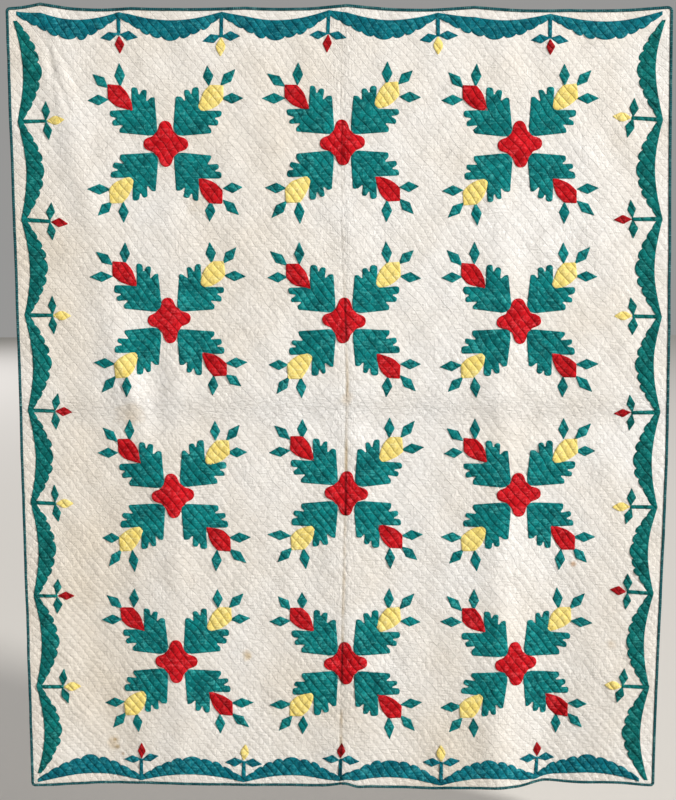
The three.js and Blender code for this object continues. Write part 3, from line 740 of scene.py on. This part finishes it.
# How uneven the hand cut and laid them: millimetres, radians, a share and degrees
CUT_UNEVEN, LEAF_ASKEW, LEAFLET_UNEVEN, LEAFLET_ASKEW = 1.1, 0.012, 0.05, 3
LEAF_HALF = [
    dict(name="under the centre", x=25, z=25, turn=1),
    dict(name="side by the centre", x=45, z=22.5, turn=12),
    dict(name="side end", x=127, z=29, turn=7),
    dict(name="shoulder", x=126, z=41, turn=5),
    dict(name="first notch", x=114, z=53, turn=1.5),
    dict(name="first finger", x=145, z=50, turn=8),
    dict(name="first finger end", x=147, z=63, turn=8),
    dict(name="second notch", x=130, z=71, turn=1.5),
    dict(name="second finger", x=153, z=73.5, turn=10),
    dict(name="second finger end", x=154, z=92, turn=10),
    dict(name="beside the bud", x=98, z=92, turn=5),
]
LEAFLETS = [
    dict(name="upright", x=121, z=154, long=62, wide=30, aim=92),
    dict(name="diagonal", x=151, z=154, long=62, wide=29, aim=47),
    dict(name="level", x=153, z=122, long=62, wide=30, aim=0),
]
QUARTERS = [k * math.pi / 2 for k in range(4)]
# Teal-dyed cotton: matt, with painted shade in its stitched lines, and paler on its crinkles' crests from
# wear and a painted highlight
leaf_cotton = cotton("leaf_cotton", "#03585b", "#0a8283", "#4cbab8")


def uneven(corners, amount=CUT_UNEVEN):
    """Corners (x, z, turn) of a piece as scissors leave them."""
    return [
        (x + hand.normal() * amount, z + hand.normal() * amount, turn) for x, z, turn in corners
    ]


def rounded(corners):
    """A closed outline through corners (x, z, turn), each rounded to its own radius."""
    bends = []
    for k, (x, z, turn) in enumerate(corners):
        here = Vector((x, z))
        back = Vector(corners[k - 1][:2]) - here
        on = Vector(corners[(k + 1) % len(corners)][:2]) - here
        half = back.angle(on) / 2
        reach = min(turn / math.tan(half), BEND_SHARE * back.length, BEND_SHARE * on.length)
        start, end = here + back.normalized() * reach, here + on.normalized() * reach
        count = max(1, round(reach * math.tan(half) * (math.pi - 2 * half) / OUTLINE_STEP))
        for t in np.linspace(0, 1, count + 1):
            bends.append(start * (1 - t) ** 2 + here * 2 * t * (1 - t) + end * t * t)
    outline = []
    for here, on in zip(bends, bends[1:] + bends[:1]):
        length = (on - here).length
        count = max(1, round(length / OUTLINE_STEP))
        if length > OUTLINE_LEAST:
            outline.extend(here.lerp(on, n / count) for n in range(count))
    return np.array([tuple(point) for point in outline])


def diamond(long, wide, tip=1.0, side=3.0):
    """Corners of a narrow diamond that lies along x."""
    half = DIAMOND_WIDEST * long
    return [(0, 0, tip), (half, wide / 2, side), (long, 0, tip), (half, -wide / 2, side)]


def moved(outline, x, z, turn):
    """An outline turned about its own origin and then set down at x, z."""
    c, s = math.cos(turn), math.sin(turn)
    old_x, old_z = outline.T
    return np.column_stack((x + old_x * c - old_z * s, z + old_x * s + old_z * c))


def on_quilt(outline, middle, turn):
    """An outline drawn with z up, turned and set on the flat quilt."""
    return moved(outline, 0, 0, turn) * (1, -1) + middle


def inside_outline(points, outline):
    """True for the points inside a closed outline."""
    inside = np.zeros(len(points), dtype=bool)
    for (x0, y0), (x1, y1) in zip(outline, np.roll(outline, -1, axis=0)):
        if y0 == y1:
            continue
        crosses = (y0 > points[:, 1]) != (y1 > points[:, 1])
        inside ^= crosses & (points[:, 0] < (x1 - x0) * (points[:, 1] - y0) / (y1 - y0) + x0)
    return inside


def to_outline(points, outline):
    """Distance from each point to a closed outline."""
    nearest = np.full(len(points), np.inf)
    for start, end in zip(outline, np.roll(outline, -1, axis=0)):
        along = end - start
        t = np.clip(((points - start) @ along) / (along @ along), 0, 1)
        nearest = np.minimum(nearest, np.hypot(*(points - start - t[:, None] * along).T))
    return nearest


def patch(outline, under=0.0):
    """Flat places, lifts and triangles of a sewn-on piece with this outline on the flat quilt.
    Its edge dips to the ground, and its inner points are those of the ground's own net."""
    (low_u, low_down), (high_u, high_down) = outline.min(axis=0), outline.max(axis=0)
    near = (net_u > low_u) & (net_u < high_u) & (net_down > low_down) & (net_down < high_down)
    inner = np.column_stack((net_u[near], net_down[near]))
    on = np.roll(outline, -1, axis=0) - np.roll(outline, 1, axis=0)
    inward = np.column_stack((-on[:, 1], on[:, 0])) / np.hypot(*on.T)[:, None]
    before, after = outline.T, np.roll(outline, -1, axis=0).T
    winding = np.sign((before[0] * after[1] - after[0] * before[1]).sum())
    rim = outline + inward * TURNED_EDGE * RIM_IN * winding
    rim = rim[inside_outline(rim, outline)]
    rim = rim[to_outline(rim, outline) > TURNED_EDGE * RIM_CLEAR]
    inner = inner[inside_outline(inner, outline)]
    inner = inner[to_outline(inner, outline) > TURNED_EDGE * INNER_CLEAR]
    places = np.vstack((outline, rim, inner))
    edges = [(k, (k + 1) % len(outline)) for k in range(len(outline))]
    points = [Vector(point) for point in places]
    found = delaunay_2d_cdt(points, edges, [], INSIDE_ONLY, MERGE_WITHIN)
    flat = np.array([tuple(point) for point in found[0]])
    faces = np.array([face for face in found[2] if len(face) == 3])
    a, b, c = (flat[faces[:, k]] for k in range(3))
    turns = (b[:, 0] - a[:, 0]) * (c[:, 1] - a[:, 1]) - (b[:, 1] - a[:, 1]) * (c[:, 0] - a[:, 0])
    faces[turns > 0] = faces[turns > 0][:, ::-1]
    depth = np.clip(to_outline(flat, outline) / TURNED_EDGE, 0, 1)
    height = CLOTH * np.sqrt(1 - (1 - depth) ** 2) + EDGE_OFF + under
    puffed = (1 + CLOTH_PUFF * depth) * relief(flat[:, 0], flat[:, 1])
    return flat, BODY + puffed + height, faces


def sewn_piece(name, patches, material):
    """One mesh from several patches of the same cloth."""
    starts = np.cumsum([0] + [len(flat) for flat, _, _ in patches])
    flat = np.vstack([flat for flat, _, _ in patches])
    lift = np.concatenate([lift for _, lift, _ in patches])
    faces = np.vstack([faces + start for (_, _, faces), start in zip(patches, starts)])
    return cloth_piece(name, flat[:, 0], flat[:, 1], lift, faces, material)


leaf_corners = [(corner["x"], corner["z"], corner["turn"]) for corner in LEAF_HALF]
leaf_corners += [(z, x, turn) for x, z, turn in leaf_corners[:0:-1]]
for place, middle in square_middles.items():
    patches = []
    for quarter in QUARTERS:
        outline = rounded(uneven(leaf_corners))
        patches.append(patch(on_quilt(outline, middle, quarter + hand.normal() * LEAF_ASKEW)))
        for leaflet in LEAFLETS:
            long = leaflet["long"] * (1 + hand.normal() * LEAFLET_UNEVEN)
            outline = rounded(diamond(long, leaflet["wide"]))
            aim = math.radians(leaflet["aim"] + hand.normal() * LEAFLET_ASKEW)
            outline = moved(outline, leaflet["x"], leaflet["z"], aim)
            patches.append(patch(on_quilt(outline, middle, quarter)))
    leaves = sewn_piece(f"leaf_pieces_{place}", patches, leaf_cotton)
    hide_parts(f"leaves_{place}")
    sewn_on[f"square_{place}"].append(leaves)

# Flower centres: a four-lobed piece of turkey red cotton in the middle of each square, its edge
# turned under and felled down over the leaves' ends.
CENTRE_MEAN, CENTRE_POINTS = 50, 110
CENTRE_WAVES = [(2, 1.2), (4, 11.5), (8, 1.5), (12, -1.1)]
CENTRE_UNEVEN, CENTRE_UNEVEN_WAVES, CENTRE_ASKEW = 0.9, (2, 3, 5), 0.05
OVER_LEAVES = CLOTH * 0.9
# Turkey red cotton: a deep fast red, a little paler on its crinkles' crests from wear and a painted
# highlight
centre_cotton = cotton("turkey_red_cotton", "#a50913", "#d21823", "#f4525a")
for place, middle in square_middles.items():
    angles = np.linspace(0, 2 * np.pi, CENTRE_POINTS, endpoint=False)
    lobes = sum(high * np.cos(waves * (angles - np.pi / 2)) for waves, high in CENTRE_WAVES)
    radii = CENTRE_MEAN + lobes
    for waves in CENTRE_UNEVEN_WAVES:
        radii += hand.normal() * CENTRE_UNEVEN * np.cos(waves * angles + hand.uniform(0, 2 * np.pi))
    outline = np.column_stack((radii * np.cos(angles), radii * np.sin(angles)))
    outline = on_quilt(outline, middle, hand.normal() * CENTRE_ASKEW)
    centre_patch = patch(outline, under=OVER_LEAVES)
    centre = sewn_piece(f"flower_centre_{place}", [centre_patch], centre_cotton)
    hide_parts(f"centre_{place}")
    sewn_on[f"square_{place}"].append(centre)

# Buds: a cotton bud in the notch of each leaf, red and pointed or yellow and rounded by turns,
# its edge turned under and felled down over the leaf.

# Corners of a bud: place, and radius of the bend
RED_BUD = [
    (89, 89, 3), (93, 110, 60), (102, 137, 60), (121, 158, 7),
    (159, 158, 3), (158, 122, 7), (137, 102, 60), (110, 93, 60),
]
YELLOW_BUD = [
    (88, 99, 12), (94, 121, 60), (104, 142, 60), (121, 159, 9), (156, 160, 5),
    (159, 121, 9), (142, 104, 60), (121, 94, 60), (99, 88, 12),
]
BUD_ASKEW, BUD_OVER = 0.015, 0.35
# Red cotton a shade darker than the centres', and pale yellow with little painted shade in its stitched
# lines
red_bud_cotton = cotton("red_bud_cotton", "#9c0811", "#c9161f", "#ea4a51")
yellow_bud_cotton = cotton("yellow_bud_cotton", "#ead272", "#f2df89", "#fbf0b2", groove_shade=0.74)
for place, middle in square_middles.items():
    for colour, corners, turns, material in (
        ("red", RED_BUD, QUARTERS[1::2], red_bud_cotton),
        ("yellow", YELLOW_BUD, QUARTERS[0::2], yellow_bud_cotton),
    ):
        patches = []
        for quarter in turns:
            outline = rounded(uneven(corners))
            outline = on_quilt(outline, middle, quarter + hand.normal() * BUD_ASKEW)
            patches.append(patch(outline, under=BUD_OVER))
        buds = sewn_piece(f"{colour}_buds_{place}", patches, material)
        sewn_on[f"square_{place}"].append(buds)

# Swags: green cotton swags with scalloped inner edges, cut singly and sewn end to end along
# the four sides, their points meeting at peaks near the quilt's edge.

# First and last point from the ends of each side, and how far in from the edge the swags lie
SWAG_SIDES = {
    "top": dict(first=28, last=28, tip_in=12, peak_in=11, mid_in=32, mid_thick=45),
    "bottom": dict(first=19, last=44, tip_in=12, peak_in=11, mid_in=32, mid_thick=45),
    "left": dict(first=36, last=38, tip_in=19, peak_in=23, mid_in=42, mid_thick=43),
    "right": dict(first=36, last=17, tip_in=19, peak_in=23, mid_in=44, mid_thick=43),
}
# Places of the peaks along each side
SWAG_PEAKS = {
    "top": [307, 588, 879, 1173, 1478],
    "bottom": [326, 623, 899, 1188, 1465],
    "left": [297, 564, 827, 1093, 1354, 1622, 1887],
    "right": [305, 571, 839, 1102, 1369, 1614, 1885],
}
TIP_THICK, PEAK_THICK = 10, 13
# Scallops: where each ends along a swag, their depth, points, roundness and unevenness
SCALLOP_ENDS = [0, 0.1, 0.2, 0.3, 0.41, 0.59, 0.7, 0.8, 0.9, 1]
SCALLOP_DEEP, SCALLOP_POINTS, SCALLOP_ROUND, SCALLOP_UNEVEN = 8.5, 9, 0.7, 0.16
# Two dye lots of green cotton: bluer on the top and bottom, and deeper on the sides
end_swag_cotton = cotton("end_swag_cotton", "#025060", "#087785", "#45aab2")
side_swag_cotton = cotton("side_swag_cotton", "#024e4d", "#077471", "#40a8a3")
SWAG_CLOTH = {
    "top": (end_swag_cotton, "swag_top_bottom"),
    "bottom": (end_swag_cotton, "swag_top_bottom"),
    "left": (side_swag_cotton, "swag_sides"),
    "right": (side_swag_cotton, "swag_sides"),
}


def arch(start, middle, end, t):
    """A value that swells from one end to the middle and back to the other end."""
    straight = start + (end - start) * t
    return straight + (middle - straight) * np.sin(np.pi * t)


def along_edge(side, along, inward):
    """Flat places at distances along an edge of the quilt and inward from it."""
    if side in ("top", "bottom"):
        return np.column_stack((along - WIDTH / 2, inward if side == "top" else HEIGHT - inward))
    return np.column_stack((inward - WIDTH / 2 if side == "left" else WIDTH / 2 - inward, along))


for side, row in SWAG_SIDES.items():
    material, slot = SWAG_CLOTH[side]
    last = (WIDTH if side in ("top", "bottom") else HEIGHT) - row["last"]
    ends = [(row["first"], row["tip_in"], TIP_THICK)]
    ends += [(peak, row["peak_in"], PEAK_THICK) for peak in SWAG_PEAKS[side]]
    ends += [(last, row["tip_in"], TIP_THICK)]
    for k, (start, end) in enumerate(zip(ends, ends[1:])):
        t, crest = [], []
        for low_end, high_end in zip(SCALLOP_ENDS, SCALLOP_ENDS[1:]):
            shares = np.linspace(0, 1, SCALLOP_POINTS, endpoint=False)
            t.extend(low_end + (high_end - low_end) * shares)
            crest.extend(
                (4 * shares * (1 - shares)) ** SCALLOP_ROUND * (1 + hand.normal() * SCALLOP_UNEVEN)
            )
        t, crest = np.array(t + [1]), np.array(crest + [0])
        outer = arch(start[1], row["mid_in"], end[1], t)
        scallops = SCALLOP_DEEP * np.sin(np.pi * t) ** SCALLOP_ROUND * crest
        inner = outer + arch(start[2], row["mid_thick"], end[2], t) + scallops
        along = start[0] + (end[0] - start[0]) * t
        outline = np.vstack(
            (along_edge(side, along, outer), along_edge(side, along[::-1], inner[::-1]))
        )
        swag = sewn_piece(f"swag_piece_{side}_{k + 1}", [patch(outline)], material)
        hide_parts(f"swag_{side}_{k + 1}")
        sewn_on[f"border_{side}"].append(swag)

# Sprays: at each peak between two swags a stem, two leaves and a bud, pointing inward and felled
# down. Stem and leaves are of the swags' cotton, buds dark red and yellow by turns.
STEM_FOOT, STEM_TOP, STEM_FOOT_TURN, STEM_TOP_TURN = 12, 10, 1, 2
STEM_IN, STEM_UNEVEN, STEM_OVER = 1.0, 0.5, 0.2
STEM_LENGTHS = {
    "top": [60, 66, 62, 64, 68],
    "bottom": [64, 63, 66, 68, 65],
    "left": [80, 82, 79, 77, 72, 69, 78],
    "right": [85, 83, 80, 80, 75, 75, 78],
}
# The way inward, and how far each spray leans from it, in degrees
SPRAY_AIM = {"top": -90, "bottom": 90, "left": 0, "right": 180}
SPRAY_LEANS = {
    "top": [0, -2, -3, 1, 0],
    "bottom": [-1, -1, -2, -1, -4],
    "left": [1, -4, 0, -2, -3, -1, -1],
    "right": [-4, 0, -2, 1, -1, -4, -2],
}
SPRAY_LEAF_LONG, SPRAY_LEAF_WIDE, SPRAY_LEAF_AIM = 54, 26, 84
SPRAY_LEAF_ASKEW, SPRAY_LEAF_BACK, SPRAY_LEAF_OVER = 5, 3, 0.1
SPRAY_BUDS = {"red": dict(long=50, wide=26, side=6), "yellow": dict(long=53, wide=32, side=22)}
SPRAY_BUD_TIP, SPRAY_BUD_BACK, SPRAY_BUD_OVER = 2, 1, 0.3
SPRAY_BUD_UNEVEN, SPRAY_BUD_ASKEW = 0.8, 0.05
# Red cotton that has stayed darkest
spray_red_cotton = cotton("spray_red_cotton", "#88070f", "#af131b", "#cc4047")
for side, row in SWAG_SIDES.items():
    material, slot = SWAG_CLOTH[side]
    green, buds = [], {"red": [], "yellow": []}
    for k, peak in enumerate(SWAG_PEAKS[side]):
        root = along_edge(side, np.array([peak]), np.array([row["peak_in"] + STEM_IN]))[0]
        aim = math.radians(SPRAY_AIM[side] + SPRAY_LEANS[side][k])
        long = STEM_LENGTHS[side][k]
        stem = [
            (0, -STEM_FOOT / 2, STEM_FOOT_TURN), (long, -STEM_TOP / 2, STEM_TOP_TURN),
            (long, STEM_TOP / 2, STEM_TOP_TURN), (0, STEM_FOOT / 2, STEM_FOOT_TURN),
        ]
        stem = rounded(uneven(stem, STEM_UNEVEN))
        green.append(patch(on_quilt(stem, root, aim), under=STEM_OVER))
        for turn in (1, -1):
            leaf = rounded(uneven(diamond(SPRAY_LEAF_LONG, SPRAY_LEAF_WIDE)))
            leaf_aim = math.radians(SPRAY_LEAF_AIM + hand.normal() * SPRAY_LEAF_ASKEW)
            leaf = moved(leaf, long - SPRAY_LEAF_BACK, 0, turn * leaf_aim)
            green.append(patch(on_quilt(leaf, root, aim), under=SPRAY_LEAF_OVER))
        colour = "red" if (k % 2 == 0) == (side in ("top", "bottom")) else "yellow"
        bud = rounded(uneven(diamond(tip=SPRAY_BUD_TIP, **SPRAY_BUDS[colour]), SPRAY_BUD_UNEVEN))
        bud = moved(bud, long - SPRAY_BUD_BACK, 0, hand.normal() * SPRAY_BUD_ASKEW)
        buds[colour].append(patch(on_quilt(bud, root, aim), under=SPRAY_BUD_OVER))
    greens = sewn_piece(f"spray_greens_{side}", green, material)
    sewn_on[f"border_{side}"].append(greens)
    for colour, bud_cotton in (("red", spray_red_cotton), ("yellow", yellow_bud_cotton)):
        spray_buds = sewn_piece(f"spray_{colour}_buds_{side}", buds[colour], bud_cotton)
        sewn_on[f"border_{side}"].append(spray_buds)

# Backing: one white cotton cloth behind the filling, drawn in by the same quilting lines and
# held at the edge by the binding.
BACK_PUFF = 0.5
# The same bleached cotton, with less painted shade in the centre fold, and without spots
backing_cotton = cotton(
    "backing_cotton", "#e8e6e3", "#edecea", "#f2f1ef",
    groove_shade=0.86, fold_shade=0.96, rising_shade=0.5, fine=1.0, groove=0.06,
)
age(backing_cotton, [])
back_u, back_down, back_cells = lay_net(COARSE_NET)
back_lift = -BACK_PUFF * relief(back_u, back_down)
backing = cloth_piece("backing", back_u, back_down, back_lift, back_cells[:, ::-1], backing_cotton)
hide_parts("quilt")

# Binding: a narrow dark green cotton strip folded over the edge all round and felled by hand
# on both sides, which puckers it.
BINDING_FACE, BINDING_THICK, OVER_FRONT, OVER_REAR = 7.5, 1.3, 1.3, 0.7
BINDING_FRONT, BINDING_REAR = BODY + OVER_FRONT + BINDING_THICK, -OVER_REAR - BINDING_THICK
BINDING_MIDDLE = (BINDING_FRONT + BINDING_REAR) / 2
# Its section from the felled front edge round to the felled rear edge: how far inside the
# quilt's edge, and the lift off its back
BINDING_SECTION = [
    (BINDING_FACE, BODY + 0.1), (BINDING_FACE - 0.2, BINDING_FRONT - 1.0),
    (BINDING_FACE - 1.2, BINDING_FRONT - 0.2), (BINDING_FACE / 2, BINDING_FRONT),
    (1.2, BINDING_FRONT - 0.2), (-0.2, BINDING_FRONT - 1.3), (-0.8, BINDING_MIDDLE),
    (-0.2, BINDING_REAR + 1.3), (1.2, BINDING_REAR + 0.2), (BINDING_FACE / 2, BINDING_REAR),
    (BINDING_FACE - 1.2, BINDING_REAR + 0.2), (BINDING_FACE - 0.2, BINDING_REAR + 1.0),
    (BINDING_FACE, -0.1),
]
BINDING_STEP, CORNER_POINTS = 2.4, 9
PUCKER, PUCKER_EVERY, PUCKER_SHIFT, PUCKER_RISE, STITCH = 0.5, 9.0, 1, 2, 5.2
# Dark green cotton, with painted shade at each stitch, so that the puckers between look paler
binding_cotton = cotton("binding_cotton", "#174a50", "#23636a", "#74a9a8", groove=0.3)


def edge_path():
    """Flat places along the quilt's edge, and the way inward at each."""
    half, corner = WIDTH / 2, CORNER_ROUND
    middles = [
        (half - corner, corner), (half - corner, HEIGHT - corner),
        (corner - half, HEIGHT - corner), (corner - half, corner),
    ]
    places, inward = [], []
    for k, middle in enumerate(middles):
        for angle in np.linspace(k - 1, k, CORNER_POINTS) * math.pi / 2:
            out = np.array((math.cos(angle), math.sin(angle)))
            places.append(np.array(middle) + corner * out)
            inward.append(-out)
        start, end = places[-1], np.array(middles[(k + 1) % len(middles)]) + corner * out
        count = round(np.hypot(*(end - start)) / BINDING_STEP)
        for n in range(1, count):
            places.append(start + (end - start) * n / count)
            inward.append(-out)
    return np.array(places), np.array(inward)


edge_places, edge_inward = edge_path()
edge_run = np.concatenate(([0], np.cumsum(np.hypot(*np.diff(edge_places, axis=0).T))))
uneven_run = waver(edge_places[:, 0], edge_places[:, 1], PUCKER_SHIFT)
pucker = PUCKER * np.sin(2 * np.pi * edge_run / PUCKER_EVERY + uneven_run)
strip_places, strip_lift = [], []
for inside, lift in BINDING_SECTION:
    strip_places.append(edge_places + edge_inward * inside)
    strip_lift.append(lift + pucker * np.clip((lift - BINDING_MIDDLE) / PUCKER_RISE, -1, 1))
strip_u, strip_down = np.stack(strip_places, axis=1).reshape(-1, 2).T
strip_lift = np.stack(strip_lift, axis=1).ravel()
count, size = len(edge_places), len(BINDING_SECTION)
station, rib = np.meshgrid(np.arange(count), np.arange(size - 1), indexing="ij")
this, after = station * size + rib, (station + 1) % count * size + rib
strip_faces = np.stack([this, this + 1, after + 1, after], axis=-1).reshape(-1, 4)
# Stitch marks along the binding, where its cotton gets painted shade
stitches = np.column_stack((np.repeat(edge_run / STITCH, size), np.full(count * size, 0.5)))
binding = cloth_piece(
    "binding_strip", strip_u, strip_down, strip_lift, strip_faces, binding_cotton, lines=stitches,
)
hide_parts("binding")
